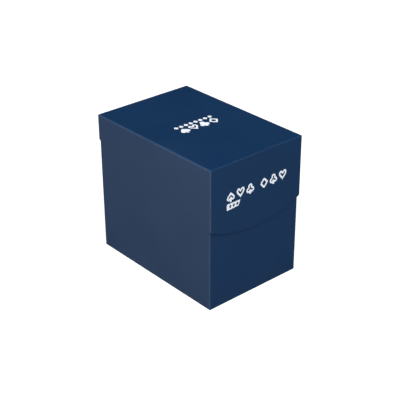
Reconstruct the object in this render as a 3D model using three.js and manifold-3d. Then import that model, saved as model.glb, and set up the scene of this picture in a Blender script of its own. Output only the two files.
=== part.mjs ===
// Card deck box of thin polypropylene sheet: an open-topped base, a flip-over lid that fits outside it,
// a living hinge along the top rear edge, and a loose card divider.
// Millimetres, +Z up. The origin is on the table, in the middle of the closed box's footprint.
// The printed front of the box faces -Y and the hinge runs along X at the back.
// Every panel between two folds of the sheet is a mesh of its own, mitred into its neighbours on the fold.

import * as THREE from "three";
import { ConvexGeometry } from "three/addons/geometries/ConvexGeometry.js";
import { RoundedBoxGeometry } from "three/addons/geometries/RoundedBoxGeometry.js";
import { mergeVertices } from "three/addons/utils/BufferGeometryUtils.js";
import Module from "manifold-3d";

const wasm = await Module();
wasm.setup();

// ---- Driving dimensions ----
const SHEET = 0.5; // thickness of every panel
const FOLD = 0.7; // outer radius of every fold
const FOLD_STEPS = 3;
const CURVE_STEPS = 20;

const HEIGHT = 98; // table to the top of the closed lid
const BASE_WIDTH = 74.5; // a sleeved card is 66 wide
const BASE_DEPTH = 108.5;
const SIDE_GAP = 0.1; // lid side flap to base side wall
const FRONT_GAP = 0.4; // lid corner tab to base front wall

const BASE_TOP_FRONT = 76; // the base's rim climbs from front to back
const BASE_TOP_REAR = 96.5;
const NOTCH_WIDTH = 44; // thumb notch in the rim of the front wall
const NOTCH_DEPTH = 12;

const LID_LOW_CENTRE = 48.1; // lowest point of the front flap's curved edge
const LID_LOW_CORNER = 56.2; // where the curve meets the front corners
const LID_LOW_REAR = 80; // the side flaps' edge climbs to here
const FLAP_REAR_INSET = 0.2; // rear edge of the side flaps to the back of the box

const TAB_WIDTH = 14; // corner tabs, folded in behind the next panel
const TAB_SLANT = 5; // how far their free corners are cut back
const BASE_TAB_LOW = 3;
const BASE_TAB_TOP = 70;
const LID_TAB_LOW = 62;
const TAB_UNDER = 3; // from the top of the lid, or of the back wall, down to its tabs

const LEAF_TOP = 96.9; // top of the strip that holds the lid on the back wall
const WEB = 0.25; // thickness left in the crease of the living hinge

const DIVIDER_WIDTH = 69;
const DIVIDER_HEIGHT = 92;
const DIVIDER_CORNER = 4;
const DIVIDER_Y = 18; // where the divider stands at rest
const DIVIDER_LIFT = 0.3; // clearance over the floor

// ---- Places worked out from them ----
const LID_FRONT_OFFSET = FRONT_GAP + 2 * SHEET; // the front of the lid is two sheets thick
const DEPTH = LID_FRONT_OFFSET + BASE_DEPTH + SHEET;
const FRONT_Y = -DEPTH / 2;
const BACK_Y = DEPTH / 2;
const BASE_X = BASE_WIDTH / 2;
const BASE_FRONT_Y = FRONT_Y + LID_FRONT_OFFSET;
const BASE_BACK_Y = BACK_Y - SHEET;
const LID_X = BASE_X + SIDE_GAP + SHEET;
const LID_REAR_Y = BACK_Y - FOLD; // the lid's top stops where the crease begins
const OVER = 20; // how far a shell is made too long before it is trimmed
const MITRE = 4; // how deep the part of a shell that belongs to one face reaches
const SIDES = [
  ["left", -1],
  ["right", 1],
];

const NAVY = { color: 0x123152, roughness: 0.55, metalness: 0 };
const sheetMaterial = () => new THREE.MeshStandardMaterial(NAVY);
const dividerMaterial = () => new THREE.MeshStandardMaterial({ ...NAVY, color: 0x163657 });

// ---- Solids ----
function solid(geometry) {
  const bare = geometry.clone();
  bare.deleteAttribute("normal");
  bare.deleteAttribute("uv");
  const merged = mergeVertices(bare);
  return new wasm.Manifold(
    new wasm.Mesh({
      numProp: 3,
      vertProperties: new Float32Array(merged.attributes.position.array),
      triVerts: new Uint32Array(merged.index.array),
    }),
  );
}

function geometryOf(made) {
  const mesh = made.getMesh();
  const geometry = new THREE.BufferGeometry();
  geometry.setAttribute("position", new THREE.BufferAttribute(mesh.vertProperties, 3));
  geometry.setIndex(new THREE.BufferAttribute(mesh.triVerts, 1));
  geometry.computeVertexNormals();
  return geometry;
}

// A box between two corners, as [x, y, z] each.
function boxGeometry(low, high, radius = 0) {
  const size = high.map((value, axis) => value - low[axis]);
  const made = radius
    ? new RoundedBoxGeometry(...size, FOLD_STEPS, radius)
    : new THREE.BoxGeometry(...size);
  return made.translate(...high.map((value, axis) => (value + low[axis]) / 2));
}

const box = (low, high) => solid(boxGeometry(low, high));

// A box whose four edges along one axis are rounded to the fold's radius.
function foldedAlong(axis, low, high) {
  const longLow = low.map((value, other) => (other === axis ? value - OVER : value));
  const longHigh = high.map((value, other) => (other === axis ? value + OVER : value));
  return solid(boxGeometry(longLow, longHigh, FOLD)).intersect(box(low, high));
}

// The outline, given as [across, up] points or a THREE.Shape, thickened along X from one x to another,
// with across running along Y.
function plateAcrossX(outline, fromX, toX) {
  const made = extrude(outline, toX - fromX);
  made.rotateX(Math.PI / 2);
  made.rotateZ(Math.PI / 2);
  return made.translate(fromX, 0, 0);
}

// The same, thickened along Y from one y to another, with across running along X.
function plateAcrossY(outline, fromY, toY) {
  const made = extrude(outline, toY - fromY);
  made.rotateX(Math.PI / 2);
  return made.translate(0, toY, 0);
}

function shapeOf(outline) {
  if (outline instanceof THREE.Shape) return outline;
  return new THREE.Shape(outline.map(([across, up]) => new THREE.Vector2(across, up)));
}

function extrude(outline, depth) {
  return new THREE.ExtrudeGeometry(shapeOf(outline), {
    depth,
    bevelEnabled: false,
    curveSegments: CURVE_STEPS,
  });
}

// What belongs to one face of a box: a slab MITRE deep whose sides slope inwards at 45 degrees, so that
// panels meet on the middle of their fold. `axis` is the face's normal and `end` its sign. A side listed
// in `open`, as [axis, sign], has no fold, and the slab runs straight through it.
function facePart(low, high, axis, end, open = []) {
  const [first, second] = [0, 1, 2].filter((other) => other !== axis);
  const points = [];
  for (const depth of [0, MITRE]) {
    const reach = (other, side) => {
      const isOpen = open.some(([openAxis, openSide]) => openAxis === other && openSide === side);
      return (side < 0 ? low[other] : high[other]) - (isOpen ? 0 : side * depth);
    };
    for (const a of [-1, 1]) {
      for (const b of [-1, 1]) {
        const point = new THREE.Vector3();
        point.setComponent(axis, (end < 0 ? low[axis] : high[axis]) - end * depth);
        point.setComponent(first, reach(first, a));
        point.setComponent(second, reach(second, b));
        points.push(point);
      }
    }
  }
  return solid(new ConvexGeometry(points));
}

// ---- Base ----
const baseLow = [-BASE_X, BASE_FRONT_Y, 0];
const baseHigh = [BASE_X, BASE_BACK_Y, HEIGHT + OVER];
// The side walls and their corner tabs stand one sheet inside the front and back walls.
const baseSideLow = [-BASE_X, BASE_FRONT_Y + SHEET, 0];
const baseSideHigh = [BASE_X, BASE_BACK_Y - SHEET, HEIGHT + OVER];

// All that is under the rim: level across the front and back, climbing along the sides.
function belowBaseRim() {
  const profile = [
    [FRONT_Y - 1, -1],
    [BACK_Y + 1, -1],
    [BACK_Y + 1, BASE_TOP_REAR],
    [BASE_BACK_Y - SHEET, BASE_TOP_REAR],
    [BASE_FRONT_Y + SHEET, BASE_TOP_FRONT],
    [FRONT_Y - 1, BASE_TOP_FRONT],
  ];
  return solid(plateAcrossX(profile, -LID_X, LID_X));
}

// A circular segment hanging from a level chord, `width` wide and `depth` deep, closed well above it.
function sagShape(width, depth, chordZ) {
  const half = width / 2;
  const radius = (half * half + depth * depth) / (2 * depth);
  const reach = Math.asin(half / radius);
  const arc = new THREE.Shape();
  arc.absarc(0, chordZ - depth + radius, radius, -Math.PI / 2 - reach, -Math.PI / 2 + reach, false);
  arc.lineTo(half, chordZ + HEIGHT);
  arc.lineTo(-half, chordZ + HEIGHT);
  return arc;
}

// Floor, front wall and back wall: a trough folded along X, as wide as the box.
function baseTrough() {
  const inside = box(
    [-BASE_X - 1, BASE_FRONT_Y + SHEET, SHEET],
    [BASE_X + 1, BASE_BACK_Y - SHEET, HEIGHT + 2 * OVER],
  );
  return foldedAlong(0, baseLow, baseHigh).subtract(inside).intersect(belowBaseRim());
}

// Side walls with their corner tabs: a ring folded along Z that fits inside the trough.
function baseRing() {
  const inside = box(
    [-BASE_X + SHEET, BASE_FRONT_Y + 2 * SHEET, -1],
    [BASE_X - SHEET, BASE_BACK_Y - 2 * SHEET, HEIGHT + 2 * OVER],
  );
  return foldedAlong(2, baseSideLow, baseSideHigh)
    .intersect(foldedAlong(1, baseLow, baseHigh))
    .subtract(inside)
    .intersect(belowBaseRim());
}

function baseParts() {
  const trough = baseTrough();
  const floor = trough.intersect(foldedAlong(1, baseLow, baseHigh));
  const notch = solid(
    plateAcrossY(sagShape(NOTCH_WIDTH, NOTCH_DEPTH, BASE_TOP_FRONT), FRONT_Y, BASE_FRONT_Y + MITRE),
  );
  const wall = (end) =>
    trough.intersect(facePart(baseLow, baseHigh, 1, end, [[0, -1], [0, 1], [2, 1]]));
  const ring = baseRing();
  const sideWall = (end) => ring.intersect(facePart(baseSideLow, baseSideHigh, 0, end, [[2, 1]]));
  const made = {
    base_floor: floor.intersect(facePart(baseLow, baseHigh, 2, -1)),
    base_front_wall: wall(-1).subtract(notch),
    base_back_wall: wall(1),
    base_left_wall: sideWall(-1),
    base_right_wall: sideWall(1),
  };
  for (const [sideName, side] of SIDES) {
    for (const [endName, end, top] of [
      ["front", -1, BASE_TAB_TOP],
      ["back", 1, BASE_TOP_REAR - TAB_UNDER],
    ]) {
      const strip = facePart(baseSideLow, baseSideHigh, 1, end, [[2, -1], [2, 1]]);
      made[`base_${endName}_${sideName}_tab`] = ring
        .intersect(strip)
        .intersect(tabOutline(side, BASE_X, BASE_TAB_LOW, top));
    }
  }
  return made;
}

// ---- Corner tabs ----
// A tab reaches inwards from the side at x = side * fromX, with its free corners cut back.
function tabOutline(side, fromX, low, high) {
  const outline = [
    [fromX, low],
    [fromX - TAB_WIDTH, low + TAB_SLANT],
    [fromX - TAB_WIDTH, high - TAB_SLANT],
    [fromX, high],
  ].map(([x, z]) => [side * x, z]);
  return solid(plateAcrossY(outline, FRONT_Y, BACK_Y));
}

// ---- Lid ----
const lidLow = [-LID_X, FRONT_Y, LID_LOW_CENTRE - OVER];
const lidHigh = [LID_X, LID_REAR_Y, HEIGHT];
// The side flaps and their corner tabs hang one sheet behind the front flap.
const lidSideLow = [-LID_X, FRONT_Y + SHEET, LID_LOW_CENTRE - OVER];

// A box with rounded edges along one axis, of which the rear, where the crease begins, is cut off flat.
function lidFoldedAlong(axis, low) {
  const deep = [LID_X, LID_REAR_Y + OVER, HEIGHT + (axis === 2 ? OVER : 0)];
  return foldedAlong(axis, low, deep).intersect(box(low, lidHigh));
}

// All that is over the side flaps' sloping edge.
function aboveSideEdge() {
  const slope = (LID_LOW_REAR - LID_LOW_CORNER) / (BACK_Y - FRONT_Y);
  const edge = (y) => LID_LOW_CORNER + slope * (y - FRONT_Y);
  const profile = [
    [FRONT_Y - 1, edge(FRONT_Y - 1)],
    [BACK_Y + 1, edge(BACK_Y + 1)],
    [BACK_Y + 1, HEIGHT + 1],
    [FRONT_Y - 1, HEIGHT + 1],
  ];
  return solid(plateAcrossX(profile, -LID_X - 1, LID_X + 1));
}

// Under their fold, the side flaps carry on past the crease.
function flapRear(side) {
  const [low, high] = side < 0 ? [-LID_X, -LID_X + SHEET] : [LID_X - SHEET, LID_X];
  return box([low, LID_REAR_Y, lidLow[2]], [high, BACK_Y - FLAP_REAR_INSET, HEIGHT - FOLD]);
}

function lidParts() {
  const inside = box([-LID_X - 1, FRONT_Y + SHEET, lidLow[2] - 1], [LID_X + 1, BACK_Y, HEIGHT - SHEET]);
  const bend = lidFoldedAlong(0, lidLow).subtract(inside);
  const ringInside = box(
    [-LID_X + SHEET, FRONT_Y + 2 * SHEET, lidLow[2] - 1],
    [LID_X - SHEET, BACK_Y, HEIGHT + 1],
  );
  const acrossSides = lidFoldedAlong(1, lidLow);
  const ring = lidFoldedAlong(2, lidSideLow).intersect(acrossSides).subtract(ringInside);
  const curve = sagShape(2 * LID_X, LID_LOW_CORNER - LID_LOW_CENTRE, LID_LOW_CORNER);
  const aboveCurve = solid(plateAcrossY(curve, FRONT_Y - 1, FRONT_Y + MITRE));
  const flap = facePart(lidLow, lidHigh, 1, -1, [[0, -1], [0, 1], [2, -1]]);
  const made = {
    lid_top: bend.intersect(acrossSides).intersect(facePart(lidLow, lidHigh, 2, 1, [[1, 1]])),
    lid_front_flap: bend.intersect(flap).intersect(aboveCurve),
  };
  const strip = facePart(lidSideLow, lidHigh, 1, -1, [[2, -1], [2, 1]]);
  for (const [name, side] of SIDES) {
    made[`lid_${name}_flap`] = ring
      .intersect(facePart(lidSideLow, lidHigh, 0, side, [[2, -1], [1, 1]]))
      .add(flapRear(side))
      .intersect(aboveSideEdge());
    made[`lid_${name}_tab`] = ring
      .intersect(strip)
      .intersect(tabOutline(side, LID_X, LID_TAB_LOW, HEIGHT - TAB_UNDER));
  }
  return made;
}

// ---- Hinge ----
// The leaf is the lid's rear strip, welded flat on the outside of the base's back wall.
function hingeLeaf() {
  return boxGeometry([-BASE_X, BASE_BACK_Y, LID_LOW_REAR], [BASE_X, BACK_Y, LEAF_TOP]);
}

// The web is the thin crease that bends, from the leaf's top edge round to the lid's top panel.
function livingHinge() {
  const centreY = BACK_Y - FOLD;
  const centreZ = HEIGHT - FOLD;
  const section = new THREE.Shape();
  section.moveTo(BACK_Y - WEB, LEAF_TOP);
  section.lineTo(BACK_Y, LEAF_TOP);
  section.absarc(centreY, centreZ, FOLD, 0, Math.PI / 2, false);
  section.absarc(centreY, centreZ, FOLD - WEB, Math.PI / 2, 0, true);
  return plateAcrossX(section, -BASE_X, BASE_X);
}

// ---- Divider ----
function divider() {
  const half = DIVIDER_WIDTH / 2;
  const low = SHEET + DIVIDER_LIFT;
  const top = low + DIVIDER_HEIGHT;
  const outline = new THREE.Shape();
  outline.moveTo(-half, low);
  outline.lineTo(half, low);
  outline.absarc(half - DIVIDER_CORNER, top - DIVIDER_CORNER, DIVIDER_CORNER, 0, Math.PI / 2, false);
  outline.absarc(-half + DIVIDER_CORNER, top - DIVIDER_CORNER, DIVIDER_CORNER, Math.PI / 2, Math.PI, false);
  return plateAcrossY(outline, DIVIDER_Y - SHEET / 2, DIVIDER_Y + SHEET / 2);
}

// ---- Assembly ----
const deckBox = new THREE.Group();

function addParts(geometries, material) {
  const group = new THREE.Group();
  for (const [name, geometry] of Object.entries(geometries)) {
    const mesh = new THREE.Mesh(geometry, material());
    mesh.name = name;
    group.add(mesh);
  }
  deckBox.add(group);
}

const asGeometries = (solids) =>
  Object.fromEntries(Object.entries(solids).map(([name, made]) => [name, geometryOf(made)]));

addParts(asGeometries(baseParts()), sheetMaterial);
addParts(asGeometries(lidParts()), sheetMaterial);
addParts({ hinge_leaf: hingeLeaf(), living_hinge: livingHinge() }, sheetMaterial);
addParts({ card_divider: divider() }, dividerMaterial);

export default deckBox;
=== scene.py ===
import math

import bmesh
import bpy
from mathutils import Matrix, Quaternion, Vector


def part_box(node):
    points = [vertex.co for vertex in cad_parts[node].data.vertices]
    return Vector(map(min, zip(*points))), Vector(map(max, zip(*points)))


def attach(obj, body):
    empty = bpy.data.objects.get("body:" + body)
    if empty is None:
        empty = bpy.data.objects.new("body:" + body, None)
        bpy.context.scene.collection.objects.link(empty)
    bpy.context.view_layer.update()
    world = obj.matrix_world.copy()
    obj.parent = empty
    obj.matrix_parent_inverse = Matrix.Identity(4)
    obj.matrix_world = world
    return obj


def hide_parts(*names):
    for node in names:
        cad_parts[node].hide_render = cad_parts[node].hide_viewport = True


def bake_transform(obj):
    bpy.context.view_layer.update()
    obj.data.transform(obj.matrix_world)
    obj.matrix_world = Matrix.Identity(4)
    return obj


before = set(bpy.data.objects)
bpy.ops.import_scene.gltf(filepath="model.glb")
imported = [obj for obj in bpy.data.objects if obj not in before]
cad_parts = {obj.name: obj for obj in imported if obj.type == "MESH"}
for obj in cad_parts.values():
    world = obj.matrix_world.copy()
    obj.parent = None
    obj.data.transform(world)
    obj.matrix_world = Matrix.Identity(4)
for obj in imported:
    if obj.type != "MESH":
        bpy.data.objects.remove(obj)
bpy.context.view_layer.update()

MM = 0.001

# ---- Sheet ----
SHEET = 0.5 * MM
FOLD = 0.7 * MM  # outer radius of every fold
HALF_FOLD = math.pi / 4  # each panel turns through half of its fold, up to the mitre
ARC_CELLS = 7
WEB_THINNING = 0.5  # how much thinner the sheet is in the middle of the living hinge
CELL = 2.5 * MM  # grid spacing on the flats
SHOULDER = (0.25 * MM, 0.6 * MM, 1.1 * MM)  # extra grid lines close to every border
LEAST_GAP = 0.05 * MM  # between two grid lines
DENT_CELLS = 4  # from the middle of a weld mark to its rim
CUT_BEVEL = 0.07 * MM
CORNER_BEVEL = 0.2 * MM
BEVELS = {"cut": CUT_BEVEL, "corner": CORNER_BEVEL}
CORNER = 0.8 * MM  # radius of the free corners in the plane of the sheet

# ---- Whitening, with a painted highlight ----
CREASE_REACH = 0.75 * MM  # how far the paler band spreads from the middle of a fold: whitened plastic with a painted highlight on top
WEAR_AND_HIGHLIGHT_REACH = 0.5 * MM  # and from a cut edge that forms a corner of the box, where the pale wear is also a painted highlight
# FULL, SLIGHT and FAINT: how pale a fold is made, as whitened plastic with a painted highlight on top
FULL = 1
SLIGHT = 0.65
FAINT = 0.08
PALENESS = {"cut": 0.3, "corner": 1.0}  # of the cut edge itself: paler cut plastic, and at a corner of the box also a painted highlight

# ---- Weld marks ----
WELD_RADIUS = 1.3 * MM
WELD_DEPTH = 0.16 * MM
WELD_STEEPNESS = 2.2  # how much steeper than a plain bowl's its sides are, down to a flat bottom
TAB_WELD_MARGIN = 8 * MM
TAB_WELD_PITCH = 16 * MM
LEAF_WELD_ROWS = (0.3, 0.7)  # shares of the leaf's height
LEAF_WELD_COLUMNS = 5

# ---- Outlines that the frame doesn't give ----
CURVE_RISE = 8.1 * MM  # front flap: centre of its lower edge to its corners
NOTCH_HALF = 22 * MM
NOTCH_DEPTH = 12 * MM
TAB_SLANT = 5 * MM  # how much a tab tapers at each end towards its free edge
TAB_LAP = 1.5 * MM  # how far a straight cut runs on past the end of a tab
DIVIDER_CORNER = 4 * MM

# ---- Planes of the frame ----
LID_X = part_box("lid_right_flap")[1].x
LID_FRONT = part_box("lid_front_flap")[0].y
LID_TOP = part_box("lid_top")[1].z
LID_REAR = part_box("lid_top")[1].y
CURVE_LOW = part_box("lid_front_flap")[0].z
BASE_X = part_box("base_right_wall")[1].x
BASE_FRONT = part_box("base_front_wall")[0].y
BASE_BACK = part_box("base_back_wall")[1].y
RIM_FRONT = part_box("base_front_wall")[1].z
RIM_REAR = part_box("base_back_wall")[1].z
LEAF_LOW, LEAF_HIGH = (corner.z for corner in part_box("hinge_leaf"))
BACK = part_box("hinge_leaf")[1].y
FLAP_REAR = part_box("lid_left_flap")[1].y

X, Y, Z = Vector((1, 0, 0)), Vector((0, 1, 0)), Vector((0, 0, 1))


# ---- Grids ----
def stations(low, high, ends, dents=()):
    """Places along one side of a panel, as (place, rise, tilt): rise is how far a fold has curled
    inwards there, and tilt how far it has turned the surface. Each of the two ends is "fold" for half a
    fold, "cut" for a free edge, "corner" for one that forms a corner of the box, or "flush" where
    another piece goes on. dents are (place, radius), and get a finer grid."""
    flat_low = low + FOLD if ends[0] == "fold" else low
    flat_high = high - FOLD if ends[1] == "fold" else high
    cells = max(2, math.ceil((flat_high - flat_low) / CELL))
    places = [flat_low + (flat_high - flat_low) * i / cells for i in range(cells + 1)]
    places += [flat_low + gap for gap in SHOULDER] + [flat_high - gap for gap in SHOULDER]
    for centre, radius in dents:
        places += [centre + radius * k / DENT_CELLS for k in range(-DENT_CELLS - 1, DENT_CELLS + 2)]
    kept = []
    for place in sorted(places):
        if flat_low <= place <= flat_high and (not kept or place - kept[-1] > LEAST_GAP):
            kept.append(place)
    kept[-1] = flat_high
    made = [(place, 0, 0) for place in kept]
    for k in range(1, ARC_CELLS + 1):
        angle = HALF_FOLD * k / ARC_CELLS
        reach, rise = FOLD * math.sin(angle), FOLD * (1 - math.cos(angle))
        if ends[0] == "fold":
            made.insert(0, (flat_low - reach, rise, -angle))
        if ends[1] == "fold":
            made.append((flat_high + reach, rise, angle))
    return made


def pale_and_highlight_at(station, made, ends):
    """How pale the sheet is at a station, whitened at a fold and worn at a corner edge, with a painted
    highlight on top of both: most in the middle of a fold and along a corner edge of the box.
    """
    place, _, tilt = station
    flats = [s[0] for s in made if not s[2]]
    paleness = 0
    for end, away in ((ends[0], place - flats[0]), (ends[1], flats[-1] - place)):
        if end == "fold":
            distance = max(away, 0) + FOLD * (HALF_FOLD - (abs(tilt) if away < 0 else 0))
            paleness = max(paleness, math.exp(-((distance / CREASE_REACH) ** 2)))
        elif end == "corner":
            paleness = max(paleness, math.exp(-((away / WEAR_AND_HIGHLIGHT_REACH) ** 2)))
    return paleness


def dent_depth(u, v, dents):
    """How deep the weld marks, as (u, v, radius, depth), are at a place."""
    deepest = 0
    for at_u, at_v, radius, depth in dents:
        share = 1 - ((u - at_u) ** 2 + (v - at_v) ** 2) / radius**2
        if share > 0:
            deepest = max(deepest, depth * min(1, WELD_STEEPNESS * share))
    return deepest


def unfolded(u, tilt, flats, v, tabs):
    """Whether a station of a fold at an end of u lies beyond the tab there, where the sheet is cut off
    straight instead, and its u in that case. tabs is the (low, high) v of the tab at each end."""
    end, way = (0, -1) if tilt < 0 else (-1, 1)
    if not tilt or not tabs or tabs[end][0] <= v <= tabs[end][1]:
        return False, u
    return True, flats[end] + way * FOLD * abs(tilt) / HALF_FOLD


def panel(name, node, body, axes, u_side, v_side, low_edge=None, high_edge=None, bow=None,
          dents=(), dents_inside=False, whitening_and_highlight=(FULL, FAINT), tabs=None, material="navy_sheet"):
    """A sheet panel. axes is (point on the outer face, U, V, N), with N the outward normal and U x V = N.
    u_side and v_side are (low, high, ends). low_edge and high_edge give a free edge's v at each u, and
    bow(u, v) is how far the sheet stands proud of its plane. dents are the weld marks, pressed into the
    outside or, with dents_inside, the inside. whitening_and_highlight gives how pale the folds along V
    and along U are, as whitened plastic with a painted highlight on top. tabs is where along V the folds
    at the two ends of u lead on to a tab, if not all the way."""
    origin, along, up, out = axes
    us = stations(*u_side, dents=[(d[0], d[2]) for d in dents])
    vs = stations(*v_side, dents=[(d[1], d[2]) for d in dents])
    flat_us = [u for u, _, tilt in us if not tilt]
    flat_vs = [v for v, _, tilt in vs if not tilt]
    flat_low, flat_high = flat_vs[0], flat_vs[-1]
    # how pale each station is: whitened plastic at folds and worn corner edges, with a painted highlight on
    # top
    pale_us = [whitening_and_highlight[0] * pale_and_highlight_at(station, us, u_side[2]) for station in us]
    pale_vs = [whitening_and_highlight[1] * pale_and_highlight_at(station, vs, v_side[2]) for station in vs]
    crease = [max(pale_u, pale_v) for pale_u in pale_us for pale_v in pale_vs]
    outer, inner = [], []
    for fold_u, fold_rise, fold_tilt in us:
        low = low_edge(fold_u) if low_edge else flat_low
        high = high_edge(fold_u) if high_edge else flat_high
        for v, v_rise, v_tilt in vs:
            if not v_tilt:
                v = low + (high - low) * (v - flat_low) / (flat_high - flat_low)
            straight, u = unfolded(fold_u, fold_tilt, flat_us, v, tabs)
            u_rise, u_tilt = (0, 0) if straight else (fold_rise, fold_tilt)
            folds = ((v_rise, v_tilt, up), (u_rise, u_tilt, along))
            rise, tilt, towards = max(folds, key=lambda fold: fold[0])
            normal = out * math.cos(tilt) + towards * math.sin(tilt)
            proud = (bow(u, v) if bow else 0) - rise
            dent = dent_depth(u, v, dents)
            point = origin + along * u + up * v + out * proud
            outer.append(point - normal * (0 if dents_inside else dent))
            inner.append(point - normal * (SHEET - (dent if dents_inside else 0)))
    ends = (u_side[2][0], u_side[2][1], v_side[2][0], v_side[2][1])
    mesh = closed_grid(name, outer, inner, len(us), len(vs), ends, crease)
    finish_piece(name, mesh, body, node, material)


def closed_grid(name, outer, inner, rows, cols, ends, crease):
    """Outer and inner skin, closed round the border. ends is for low u, high u, low v and high v."""
    count = rows * cols
    faces, cut = [], []
    for i in range(rows - 1):
        for j in range(cols - 1):
            a, b, c, d = i * cols + j, (i + 1) * cols + j, (i + 1) * cols + j + 1, i * cols + j + 1
            faces += [(a, b, c, d), (count + d, count + c, count + b, count + a)]
            cut += [0.0, 0.0]
    borders = (
        (ends[0], range(cols)[::-1]),
        (ends[1], range((rows - 1) * cols, count)),
        (ends[2], range(0, count, cols)),
        (ends[3], range(cols - 1, count, cols)[::-1]),
    )
    rounding = {}
    for end, line in borders:
        for a, b in zip(line, line[1:]):
            faces.append((b, a, count + a, count + b))
            # paler cut edges; at the box's corners also a painted highlight
            cut.append(PALENESS.get(end, 0.0))
            for pair in (frozenset((a, b)), frozenset((count + a, count + b))):
                rounding[pair] = BEVELS.get(end, 0) / CORNER_BEVEL
    for corner in (0, cols - 1, (rows - 1) * cols, rows * cols - 1):
        rounding[frozenset((corner, count + corner))] = 0
    mesh = bpy.data.meshes.new(name)
    mesh.from_pydata(outer + inner, [], faces)
    mesh.attributes.new("crease", "FLOAT", "POINT").data.foreach_set("value", crease + crease)
    mesh.attributes.new("cut", "FLOAT", "FACE").data.foreach_set("value", cut)
    bevel = mesh.attributes.new("bevel_weight_edge", "FLOAT", "EDGE").data
    hard = mesh.attributes.new("sharp_edge", "BOOLEAN", "EDGE").data
    for edge in mesh.edges:
        key = frozenset(edge.vertices)
        bevel[edge.index].value = rounding.get(key, 0)
        hard[edge.index].value = rounding.get(key) == 0
    return mesh


def finish_piece(name, mesh, body, node=None, material="navy_sheet", rounded=True):
    """Puts a mesh on its body, in place of its CAD node. A rounded one is shaded smooth and bevelled."""
    mesh.materials.append(MATERIALS[material])
    mesh.polygons.foreach_set("use_smooth", [rounded] * len(mesh.polygons))
    piece = bpy.data.objects.new(name, mesh)
    bpy.context.scene.collection.objects.link(piece)
    if rounded:
        modifier = piece.modifiers.new("cut_edges", "BEVEL")
        modifier.width = CORNER_BEVEL
        modifier.segments = 3
        modifier.limit_method = "WEIGHT"
        modifier.harden_normals = True
    if body:
        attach(piece, body)
    if node:
        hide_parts(node)
    return piece


# ---- Bows: how far each panel stands proud of its plane ----
def bow_of(low_u, high_u, low_v, high_v, amount, free=None):
    """A soft swell that dies out at the folds. free names the side of v that isn't held."""

    def swell(u, v):
        across = math.sin(math.pi * min(1, max(0, (u - low_u) / (high_u - low_u))))
        share = min(1, max(0, (v - low_v) / (high_v - low_v)))
        if free == "high":
            return amount * across * math.sin(math.pi / 2 * share)
        if free == "low":
            return amount * across * math.cos(math.pi / 2 * share)
        return amount * across * math.sin(math.pi * share)

    return swell


base_side_bow = bow_of(BASE_FRONT, BASE_BACK, 0, RIM_REAR, -0.15 * MM, free="high")
base_end_bow = bow_of(-BASE_X, BASE_X, 0, RIM_FRONT, -0.1 * MM, free="high")
lid_top_bow = bow_of(-LID_X, LID_X, LID_FRONT, LID_REAR, -0.15 * MM)
lid_side_bow = bow_of(LID_FRONT, FLAP_REAR, CURVE_LOW, LID_TOP, 0.05 * MM, free="low")
lid_front_bow = bow_of(-LID_X, LID_X, CURVE_LOW, LID_TOP, 0.08 * MM, free="low")


# ---- Outlines ----
def corner_cut(distance, radius=CORNER):
    """How much a round corner takes off an edge at a distance from the side."""
    if distance >= radius:
        return 0
    return radius - math.sqrt(max(0, radius**2 - (radius - distance) ** 2))


def sag(u, half, depth):
    """Height over its lowest point of a circular curve that rises by depth at half."""
    radius = (half**2 + depth**2) / (2 * depth)
    return radius - math.sqrt(radius**2 - u**2)


def front_flap_low(x):
    return CURVE_LOW + sag(x, LID_X, CURVE_RISE) + corner_cut(LID_X - abs(x))


def side_flap_low(y):
    corner_z = CURVE_LOW + CURVE_RISE
    slope = (LEAF_LOW - corner_z) / (BACK - LID_FRONT)
    return corner_z + slope * (y - LID_FRONT) + corner_cut(FLAP_REAR - y)


def front_rim(x):
    notch = NOTCH_DEPTH - sag(x, NOTCH_HALF, NOTCH_DEPTH) if abs(x) < NOTCH_HALF else 0
    return RIM_FRONT - notch - corner_cut(BASE_X - abs(x))


def back_rim(x):
    return RIM_REAR - corner_cut(BASE_X - abs(x))


def side_rim(y):
    low, high = BASE_FRONT + SHEET, BASE_BACK - SHEET
    share = min(1, max(0, (y - low) / (high - low)))
    return RIM_FRONT + (RIM_REAR - RIM_FRONT) * share


# ---- Faces ----
def axes_for(face, place):
    """(origin, U, V, N) for a face of the box, so that u and v are coordinates of the frame or their
    negatives: u is x on the front, y on the right, and turned about on the faces opposite."""
    return {
        "front": (Y * place, X, Z, -Y),
        "back": (Y * place, -X, Z, Y),
        "left": (X * place, -Y, Z, -X),
        "right": (X * place, Y, Z, X),
        "top": (Z * place, X, Y, Z),
        "bottom": (Z * place, X, -Y, -Z),
    }[face]


def mirrored(function, sign):
    """The function of u, or of u and v, with u counted the other way if sign is -1."""
    return lambda u, *rest: function(sign * u, *rest)


def tab_spans(front_node, back_node, sign):
    """From where to where the folds at a side panel's front and back lead on to their tabs, in the
    order of its u."""
    spans = []
    for node in (front_node, back_node):
        low, high = (corner.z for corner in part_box(node)) if node else (-math.inf, math.inf)
        spans.append((low + TAB_LAP, high - TAB_LAP))
    return spans if sign > 0 else spans[::-1]


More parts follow.
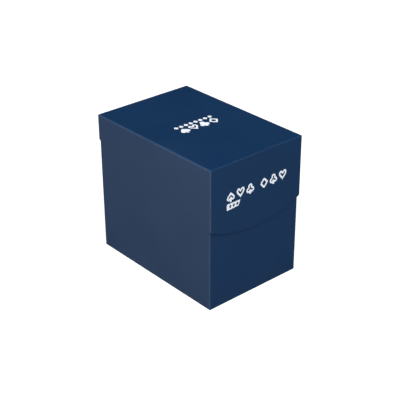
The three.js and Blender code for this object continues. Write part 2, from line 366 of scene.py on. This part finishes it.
# ---- Base ----
def make_base():
    x, front, back = BASE_X, BASE_FRONT, BASE_BACK
    panel("floor_sheet", "base_floor", "base", axes_for("bottom", 0),
          (-x, x, ("fold", "fold")), (-back, -front, ("fold", "fold")), whitening_and_highlight=(FAINT, FAINT))
    panel("front_wall_sheet", "base_front_wall", "base", axes_for("front", front),
          (-x, x, ("corner", "corner")), (0, RIM_FRONT, ("fold", "cut")),
          high_edge=front_rim, bow=base_end_bow)
    panel("back_wall_sheet", "base_back_wall", "base", axes_for("back", back),
          (-x, x, ("corner", "corner")), (0, RIM_REAR, ("fold", "cut")), high_edge=back_rim)
    for face, sign in (("left", -1), ("right", 1)):
        low, high = sorted((sign * (front + SHEET), sign * (back - SHEET)))
        panel(f"{face}_wall_sheet", f"base_{face}_wall", "base", axes_for(face, sign * x),
              (low, high, ("fold", "fold")), (0, RIM_REAR, ("fold", "cut")),
              high_edge=mirrored(side_rim, sign), bow=mirrored(base_side_bow, sign),
              whitening_and_highlight=(FAINT, FAINT),
              tabs=tab_spans(f"base_front_{face}_tab", f"base_back_{face}_tab", sign))


def evenly(low, high, count):
    """The middles of count equal stretches between low and high."""
    return [low + (high - low) * (k + 0.5) / count for k in range(count)]


def corner_tab(name, node, body, face, place, side, side_x, bow=None):
    """A tab that reaches inwards from the side at side * side_x and is welded to the panel before it.
    side is -1 for the left of the box and 1 for its right."""
    low_corner, high_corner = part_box(node)
    free = min(abs(low_corner.x), abs(high_corner.x))
    bottom, top = low_corner.z, high_corner.z
    way = -side if face == "back" else side
    u_side = (free, side_x, ("cut", "fold")) if way > 0 else (-side_x, -free, ("fold", "cut"))

    def slant(u):
        return TAB_SLANT * (side_x - abs(u)) / (side_x - free)

    weld_low, weld_high = bottom + TAB_WELD_MARGIN, top - TAB_WELD_MARGIN
    count = max(2, round((weld_high - weld_low) / TAB_WELD_PITCH))
    weld_u = way * (free + side_x) / 2
    welds = [(weld_u, v, WELD_RADIUS, WELD_DEPTH) for v in evenly(weld_low, weld_high, count)]
    panel(name, node, body, axes_for(face, place), u_side, (bottom, top, ("cut", "cut")),
          low_edge=lambda u: bottom + slant(u), high_edge=lambda u: top - slant(u),
          bow=bow, dents=welds, dents_inside=True, whitening_and_highlight=(FAINT, 0))


def make_tabs():
    for side, word in ((-1, "left"), (1, "right")):
        corner_tab(f"front_{word}_tab_sheet", f"base_front_{word}_tab", "base", "front",
                   BASE_FRONT + SHEET, side, BASE_X, base_end_bow)
        corner_tab(f"back_{word}_tab_sheet", f"base_back_{word}_tab", "base", "back",
                   BASE_BACK - SHEET, side, BASE_X)
        corner_tab(f"lid_{word}_tab_sheet", f"lid_{word}_tab", "lid", "front",
                   LID_FRONT + SHEET, side, LID_X, lid_front_bow)


# ---- Lid ----
def make_lid():
    panel("lid_top_sheet", "lid_top", "lid", axes_for("top", LID_TOP),
          (-LID_X, LID_X, ("fold", "fold")), (LID_FRONT, LID_REAR, ("fold", "flush")), bow=lid_top_bow,
          whitening_and_highlight=(SLIGHT, FAINT))
    panel("lid_front_sheet", "lid_front_flap", "lid", axes_for("front", LID_FRONT),
          (-LID_X, LID_X, ("corner", "corner")), (CURVE_LOW, LID_TOP, ("cut", "fold")),
          low_edge=front_flap_low, bow=lid_front_bow)
    for face, sign in (("left", -1), ("right", 1)):
        near, far = sign * (LID_FRONT + SHEET), sign * FLAP_REAR
        ends = ("fold", "cut") if sign > 0 else ("cut", "fold")
        panel(f"lid_{face}_sheet", f"lid_{face}_flap", "lid", axes_for(face, sign * LID_X),
              (min(near, far), max(near, far), ends), (CURVE_LOW, LID_TOP, ("cut", "fold")),
              low_edge=mirrored(side_flap_low, sign), bow=mirrored(lid_side_bow, sign),
              whitening_and_highlight=(FAINT, SLIGHT), tabs=tab_spans(f"lid_{face}_tab", None, sign))


# ---- Hinge ----
def make_hinge():
    columns = evenly(-BASE_X, BASE_X, LEAF_WELD_COLUMNS)
    rows = [LEAF_LOW + (LEAF_HIGH - LEAF_LOW) * share for share in LEAF_WELD_ROWS]
    welds = [(u, v, WELD_RADIUS, WELD_DEPTH) for v in rows for u in columns]
    panel("hinge_leaf_sheet", "hinge_leaf", "base", axes_for("back", BACK),
          (-BASE_X, BASE_X, ("cut", "cut")), (LEAF_LOW, LEAF_HIGH, ("cut", "flush")), dents=welds)


def web_profile():
    """(point, normal, thickness) along the outside of the living hinge, from the leaf to the lid."""
    centre = Vector((0, BACK - FOLD, LID_TOP - FOLD))
    straight_rows, bend_cells = 3, 12
    places = []
    for k in range(straight_rows):
        height = LEAF_HIGH + (centre.z - LEAF_HIGH) * k / straight_rows
        places.append((Vector((0, BACK, height)), Y))
    for k in range(bend_cells + 1):
        angle = math.pi / 2 * k / bend_cells
        normal = Y * math.cos(angle) + Z * math.sin(angle)
        places.append((centre + normal * FOLD, normal))
    profile = []
    for k, (point, normal) in enumerate(places):
        thinning = WEB_THINNING * math.sin(math.pi * k / (len(places) - 1)) ** 2
        profile.append((point, normal, SHEET * (1 - thinning)))
    return profile


def make_living_hinge():
    xs = [place for place, _, _ in stations(-BASE_X, BASE_X, ("cut", "cut"))]
    profile = web_profile()
    outer = [point - X * x for x in xs for point, _, _ in profile]
    inner = [point - X * x - normal * thick for x in xs for point, normal, thick in profile]
    crease = [1.0 for _ in outer]
    mesh = closed_grid("living_hinge_web", outer, inner, len(xs), len(profile),
                       ("cut", "cut", "flush", "flush"), crease)
    web = finish_piece("living_hinge_web", mesh, None, "living_hinge")
    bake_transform(web)


# ---- Divider ----
def make_divider():
    low_corner, high_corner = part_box("card_divider")
    half = high_corner.x
    panel("divider_sheet", "card_divider", "divider", axes_for("front", low_corner.y),
          (-half, half, ("cut", "cut")), (low_corner.z, high_corner.z, ("cut", "cut")),
          high_edge=lambda x: high_corner.z - corner_cut(half - abs(x), DIVIDER_CORNER),
          material="divider_sheet")


# ---- Printed marks: sizes are (width, height) ----
INK = 0.03 * MM
PIP_PITCH = 8 * MM
FRONT_PIP = (6.4 * MM, 6.9 * MM)
FRONT_STROKE = 1.15 * MM
FRONT_ROW_Z = 75.7 * MM
FRONT_GROUP_MIDDLE = 13.8 * MM
BADGE = [
    (-25.0 * MM, 67.1 * MM),
    (-15.4 * MM, 67.6 * MM),
    (-14.0 * MM, 71.3 * MM),
    (-25.0 * MM, 71.3 * MM),
]
BADGE_GAP = (1.9 * MM, 2.6 * MM)
BADGE_GAP_PITCH = 2.9 * MM
BADGE_GAP_MIDDLE = (-19.3 * MM, 69.3 * MM)
TOP_PIP = (6.8 * MM, 7.2 * MM)
TOP_STROKE = 1.25 * MM
TOP_ROW_Y = -1.8 * MM
TOP_DIAMOND = (3.2 * MM, 3.4 * MM)
TOP_DIAMOND_PITCH = 4 * MM
TOP_DIAMONDS = 8
TOP_DIAMONDS_Y = 4.3 * MM


def closed_curve(point_at, count):
    """The outline that point_at gives for even steps of its angle, once round."""
    return [point_at(2 * math.pi * i / count) for i in range(count)]


def heart_curve(t):
    across = 16 * math.sin(t) ** 3
    return across, 13 * math.cos(t) - 5 * math.cos(2 * t) - 2 * math.cos(3 * t) - math.cos(4 * t)


def heart():
    return closed_curve(heart_curve, 90)


def spade(stem=True):
    """A heart upside down. Its stem leaves the curve a little way round from the notch."""
    count, foot_half, foot_y = 90, 4.5, -17
    start = 0.44 if stem else 0
    leaf = [heart_curve(start + (2 * math.pi - 2 * start) * i / count) for i in range(count)]
    foot = [(foot_half, foot_y), (-foot_half, foot_y)] if stem else []
    return [(-x, -y) for x, y in leaf] + foot


def diamond():
    """A diamond with hollow sides."""
    half_width, half_height, hollowness = 13, 17, 1.7

    def point_at(t):
        c, s = math.cos(t), math.sin(t)
        across, up = math.copysign(abs(c) ** hollowness, c), math.copysign(abs(s) ** hollowness, s)
        return half_width * across, half_height * up

    return closed_curve(point_at, 60)


def club(stem=True):
    """Three round lobes and a stem that widens downwards."""
    lobe_radius, lobe_distance, foot_distance = 7.9, 7.6, 15.5
    lobes = [math.radians(angle) for angle in (90, 205, 335)]
    below, half_stem = 1.5 * math.pi, 0.3

    def point_at(t):
        reach = 0
        for angle in lobes:
            under = lobe_radius**2 - (lobe_distance * math.sin(t - angle)) ** 2
            if under > 0:
                reach = max(reach, lobe_distance * math.cos(t - angle) + math.sqrt(under))
        if stem and abs(t - below) < half_stem:
            reach = max(reach, foot_distance / math.cos(t - below))
        return reach * math.cos(t), reach * math.sin(t)

    return closed_curve(point_at, 120)


def fitted(outline, centre, size, whole=None):
    """The outline, moved and stretched so that it, or the whole that it is a part of, fills a
    rectangle of that size."""
    xs, ys = zip(*(whole or outline))
    across, up = size[0] / (max(xs) - min(xs)), size[1] / (max(ys) - min(ys))
    mid_x, mid_y = (max(xs) + min(xs)) / 2, (max(ys) + min(ys)) / 2
    return [(centre[0] + (x - mid_x) * across, centre[1] + (y - mid_y) * up) for x, y in outline]


def inset(outline, distance):
    """The outline moved inwards all round, without the stretches where it would cross itself."""
    turning = sum(a[0] * b[1] - b[0] * a[1] for a, b in zip(outline, outline[1:] + outline[:1]))
    inwards = math.copysign(distance, turning)
    least = 0.97 * distance  # a little slack, as the outline is made of straight steps
    kept = []
    for k, (x, y) in enumerate(outline):
        before, after = outline[k - 1], outline[(k + 1) % len(outline)]
        run = Vector((after[0] - before[0], after[1] - before[1])).normalized()
        place = (x - inwards * run.y, y + inwards * run.x)
        if min(math.dist(place, other) for other in outline) > least:
            kept.append(place)
    return kept


def pip(suit, centre, size, stroke=None):
    """The loops of a suit's sign, solid or drawn with a stroke. A stem stays solid."""
    loops = [fitted(suit(), centre, size)]
    if stroke:
        head = suit(stem=False) if suit in (spade, club) else suit()
        loops.append(inset(fitted(head, centre, size, whole=suit()), stroke))
    return loops


def printed(name, shapes, axes, bow):
    """A thin layer of ink on the lid. shapes is a list of outlines with their holes, as lists of
    (u, v) loops."""
    origin, along, up, out = axes
    bm = bmesh.new()
    for loops in shapes:
        edges = []
        for loop in loops:
            made = [bm.verts.new((u, v, 0)) for u, v in loop]
            edges += [bm.edges.new((made[i - 1], made[i])) for i in range(len(made))]
        bmesh.ops.triangle_fill(bm, edges=edges, use_beauty=True)
    raised = bmesh.ops.extrude_face_region(bm, geom=bm.faces[:])
    for element in raised["geom"]:
        if isinstance(element, bmesh.types.BMVert):
            element.co.z = INK
    for vert in bm.verts:
        u, v, height = vert.co
        vert.co = origin + along * u + up * v + out * (bow(u, v) + height)
    bmesh.ops.recalc_face_normals(bm, faces=bm.faces)
    mesh = bpy.data.meshes.new(name)
    bm.to_mesh(mesh)
    bm.free()
    finish_piece(name, mesh, "lid", material="white_ink", rounded=False)


def make_front_print():
    """Two groups of three outlined pips, over a slanted badge with three diamonds left open in it."""
    shapes = []
    groups = ((-1, (spade, heart, club)), (1, (diamond, club, heart)))
    for side, suits in groups:
        for k, suit in enumerate(suits):
            centre = (side * FRONT_GROUP_MIDDLE + (k - 1) * PIP_PITCH, FRONT_ROW_Z)
            shapes.append(pip(suit, centre, FRONT_PIP, FRONT_STROKE))
    gap_x, gap_z = BADGE_GAP_MIDDLE
    gaps = [fitted(diamond(), (gap_x + k * BADGE_GAP_PITCH, gap_z), BADGE_GAP) for k in (-1, 0, 1)]
    shapes.append([BADGE, *gaps])
    printed("front_print", shapes, axes_for("front", LID_FRONT), lid_front_bow)


def make_top_print():
    """Four pips, the black suits solid and the red ones outlined, and a row of small diamonds above."""
    shapes = []
    for k, suit in enumerate((spade, heart, club, diamond)):
        stroke = TOP_STROKE if suit in (heart, diamond) else None
        shapes.append(pip(suit, ((k - 1.5) * PIP_PITCH, TOP_ROW_Y), TOP_PIP, stroke))
    for k in range(TOP_DIAMONDS):
        centre = ((k - (TOP_DIAMONDS - 1) / 2) * TOP_DIAMOND_PITCH, TOP_DIAMONDS_Y)
        shapes.append([fitted(diamond(), centre, TOP_DIAMOND)])
    printed("top_print", shapes, axes_for("top", LID_TOP), lid_top_bow)


# ---- Materials ----
NAVY = (0.0057, 0.0283, 0.0820, 1)
NAVY_WORN = (0.0088, 0.0365, 0.0960, 1)
DIVIDER_NAVY = (0.0075, 0.0345, 0.0920, 1)
DIVIDER_WORN = (0.0110, 0.0430, 0.1050, 1)
# the colour of the folds and worn corners: whitened plastic, made lighter still as a painted highlight
CREASE_WHITE_AND_HIGHLIGHT = (0.060, 0.110, 0.200, 1)
CREASE_STRENGTH = 0.45
# cut edges: paler, translucent plastic; at the box's corners its whitish tone is also a painted highlight
CUT_EDGE = (0.062, 0.115, 0.195, 1)
INK_FULL = (0.84, 0.88, 0.96, 1)
INK_THIN = (0.45, 0.52, 0.66, 1)


def linked(tree, kind, links=None, **settings):
    """A shader node with its properties set and its inputs either linked or given a value."""
    node = tree.nodes.new(kind)
    for key, value in settings.items():
        setattr(node, key, value)
    for socket, source in (links or {}).items():
        if isinstance(source, bpy.types.NodeSocket):
            tree.links.new(source, node.inputs[socket])
        else:
            node.inputs[socket].default_value = source
    return node


def new_material(name):
    material = bpy.data.materials.new(name)
    material.use_nodes = True
    tree = material.node_tree
    return material, tree, tree.nodes["Principled BSDF"]


def mixed(tree, factor, first, second):
    """The colour between two others."""
    return linked(tree, "ShaderNodeMix", {0: factor, 6: first, 7: second}, data_type="RGBA").outputs[2]


def ramp(tree, value, low, high, to_low, to_high):
    """value mapped from low..high to to_low..to_high, held at the ends."""
    inputs = {"Value": value, "From Min": low, "From Max": high, "To Min": to_low, "To Max": to_high}
    return linked(tree, "ShaderNodeMapRange", inputs).outputs[0]


def noise(tree, coords, scale, detail, roughness=0.5):
    inputs = {"Vector": coords, "Scale": scale, "Detail": detail, "Roughness": roughness}
    return linked(tree, "ShaderNodeTexNoise", inputs).outputs["Fac"]


def product(tree, a, b):
    return linked(tree, "ShaderNodeMath", {0: a, 1: b}, operation="MULTIPLY").outputs[0]


def bumped(tree, height, strength, distance, under=None):
    """A normal that rises and falls with height, on top of another one's bumps."""
    inputs = {"Height": height, "Strength": strength, "Distance": distance}
    if under:
        inputs["Normal"] = under
    return linked(tree, "ShaderNodeBump", inputs).outputs[0]


def sheet_material(name, plain, worn):
    """Fine-grained matte polypropylene, whitened along its folds and paler where it was cut, with a painted
    highlight along the folds and the box's corner edges on top of that.
    """
    material, tree, shader = new_material(name)
    coords = linked(tree, "ShaderNodeTexCoord").outputs["Object"]
    cloud = noise(tree, coords, 28, 3)
    speckle = noise(tree, coords, 1500, 2)
    drawn_out = linked(tree, "ShaderNodeMapping", {"Vector": coords, "Scale": (1, 0.25, 1)}).outputs[0]
    scuff = noise(tree, drawn_out, 160, 4, 0.65)
    tone = mixed(tree, ramp(tree, cloud, 0.35, 0.7, 0.0, 0.35), plain, worn)
    tone = mixed(tree, ramp(tree, speckle, 0.55, 0.8, 0.0, 0.22), tone, worn)
    tone = mixed(tree, ramp(tree, scuff, 0.66, 0.8, 0.0, 0.35), tone, worn)
    crease = linked(tree, "ShaderNodeAttribute", attribute_name="crease").outputs["Fac"]
    # painted highlight: the pale band along the folds and corner edges also stands in for a highlight
    whitening_and_highlight = product(tree, crease, ramp(tree, noise(tree, coords, 420, 3), 0.3, 0.7, 0.55, 1.0))
    tone = mixed(tree, product(tree, whitening_and_highlight, CREASE_STRENGTH), tone, CREASE_WHITE_AND_HIGHLIGHT)
    cut = linked(tree, "ShaderNodeAttribute", attribute_name="cut").outputs["Fac"]
    # cut edges are paler plastic; at the box's corners this is also a painted highlight
    tone = mixed(tree, cut, tone, CUT_EDGE)
    tree.links.new(tone, shader.inputs["Base Color"])
    tree.links.new(ramp(tree, cloud, 0.3, 0.7, 0.50, 0.58), shader.inputs["Roughness"])
    shader.inputs["Specular IOR Level"].default_value = 0.5
    grain = bumped(tree, noise(tree, coords, 2600, 2), 0.35, 0.02 * MM)
    pebble = bumped(tree, noise(tree, coords, 700, 3), 0.25, 0.04 * MM, under=grain)
    tree.links.new(pebble, shader.inputs["Normal"])
    return material


def ink_material():
    """Flat white screen print, with the sheet's grain showing faintly through it."""
    material, tree, shader = new_material("white_ink")
    coords = linked(tree, "ShaderNodeTexCoord").outputs["Object"]
    thin = ramp(tree, noise(tree, coords, 1300, 3), 0.62, 0.8, 0.0, 0.25)
    tree.links.new(mixed(tree, thin, INK_FULL, INK_THIN), shader.inputs["Base Color"])
    tree.links.new(ramp(tree, thin, 0.0, 0.25, 0.42, 0.6), shader.inputs["Roughness"])
    grain = bumped(tree, noise(tree, coords, 2600, 2), 0.2, 0.015 * MM)
    tree.links.new(grain, shader.inputs["Normal"])
    return material


MATERIALS = {
    "navy_sheet": sheet_material("navy_sheet", NAVY, NAVY_WORN),
    "divider_sheet": sheet_material("divider_sheet", DIVIDER_NAVY, DIVIDER_WORN),
    "white_ink": ink_material(),
}


# ---- Stage, light and camera ----
LIGHT_DISTANCE = 1.4
FLOOR_HALF = 0.7
FLOOR_Z = -0.05 * MM


def make_floor():
    """A pale floor that burns out to white, with only a faint contact shadow."""
    mesh = bpy.data.meshes.new("floor")
    signs = ((-1, -1), (1, -1), (1, 1), (-1, 1))
    corners = [(x * FLOOR_HALF, y * FLOOR_HALF, FLOOR_Z) for x, y in signs]
    mesh.from_pydata(corners, [], [(0, 1, 2, 3)])
    material, _, shader = new_material("floor")
    shader.inputs["Base Color"].default_value = (0.45, 0.45, 0.45, 1)
    shader.inputs["Roughness"].default_value = 0.9
    shader.inputs["Specular IOR Level"].default_value = 0
    shader.inputs["Emission Color"].default_value = (1, 1, 1, 1)
    shader.inputs["Emission Strength"].default_value = 0.8
    mesh.materials.append(material)
    floor = bpy.data.objects.new("floor", mesh)
    bpy.context.scene.collection.objects.link(floor)
    for rays in ("diffuse", "glossy", "shadow"):
        setattr(floor, f"visible_{rays}", False)


def make_world():
    """A white surround that only the camera sees: the softboxes do all the lighting."""
    world = bpy.data.worlds.new("studio")
    world.use_nodes = True
    background = world.node_tree.nodes["Background"]
    background.inputs["Color"].default_value = (1, 1, 1, 1)
    background.inputs["Strength"].default_value = 1.0
    for rays in ("diffuse", "glossy", "transmission", "scatter"):
        setattr(world.cycles_visibility, rays, False)
    bpy.context.scene.world = world


def direction(azimuth, elevation):
    """The unit vector that points out from the box. Azimuth 0 is straight in front of it, and negative
    is towards its left side."""
    around, above = math.radians(azimuth), math.radians(elevation)
    return Vector((math.sin(around) * math.cos(above), -math.cos(around) * math.cos(above), math.sin(above)))


def softbox(name, azimuth, elevation, size, power, kind):
    """A square light that faces the middle of the box. kind is "diffuse" for an even light and
    "glossy" for a sheen."""
    light = bpy.data.lights.new(name, "AREA")
    light.size = size
    light.energy = power
    lamp = bpy.data.objects.new(name, light)
    outwards = direction(azimuth, elevation)
    lamp.location = Z * (LID_TOP / 2) + outwards * LIGHT_DISTANCE
    lamp.rotation_euler = (-outwards).to_track_quat("-Z", "Y").to_euler()
    lamp.visible_camera = False
    lamp.visible_diffuse = kind == "diffuse"
    lamp.visible_glossy = kind == "glossy"
    bpy.context.scene.collection.objects.link(lamp)


def make_lights():
    """Even light from all round, and a sheen for the top, the front and each side from its own light."""
    softbox("key", -20, 28, 1.2, 20.5, "diffuse")
    softbox("overhead", 20, 55, 1.0, 8, "diffuse")
    softbox("left", -104, 38, 0.9, 17, "diffuse")
    softbox("rear", 165, 8, 1.0, 5, "diffuse")
    softbox("under", 125, -22, 1.0, 20, "diffuse")
    softbox("top_sheen", -35, 70, 1.0, 3.5, "glossy")
    softbox("front_sheen", 20, -15, 1.0, 1.55, "glossy")
    softbox("left_sheen", -106, -4.5, 0.8, 11, "glossy")
    softbox("right_sheen", 108, -10, 0.6, 2, "glossy")


def make_camera():
    outwards = direction(-40.88, 28.24)
    roll = math.radians(-0.295)
    aim = Vector((-0.55, -2.6, 44.8)) * MM
    distance = 674.7 * MM
    data = bpy.data.cameras.new("camera")
    data.lens = 92.5
    data.sensor_width = 36
    data.clip_start = 0.01
    camera = bpy.data.objects.new("camera", data)
    camera.location = aim + outwards * distance
    camera.rotation_mode = "QUATERNION"
    camera.rotation_quaternion = (-outwards).to_track_quat("-Z", "Y") @ Quaternion((0, 0, 1), roll)
    bpy.context.scene.collection.objects.link(camera)
    bpy.context.scene.camera = camera


# ---- Everything ----
make_camera()
make_base()
make_tabs()
make_lid()
make_hinge()
make_living_hinge()
make_divider()
make_front_print()
make_top_print()
make_floor()
make_world()
make_lights()
bpy.context.scene.view_settings.view_transform = "Standard"
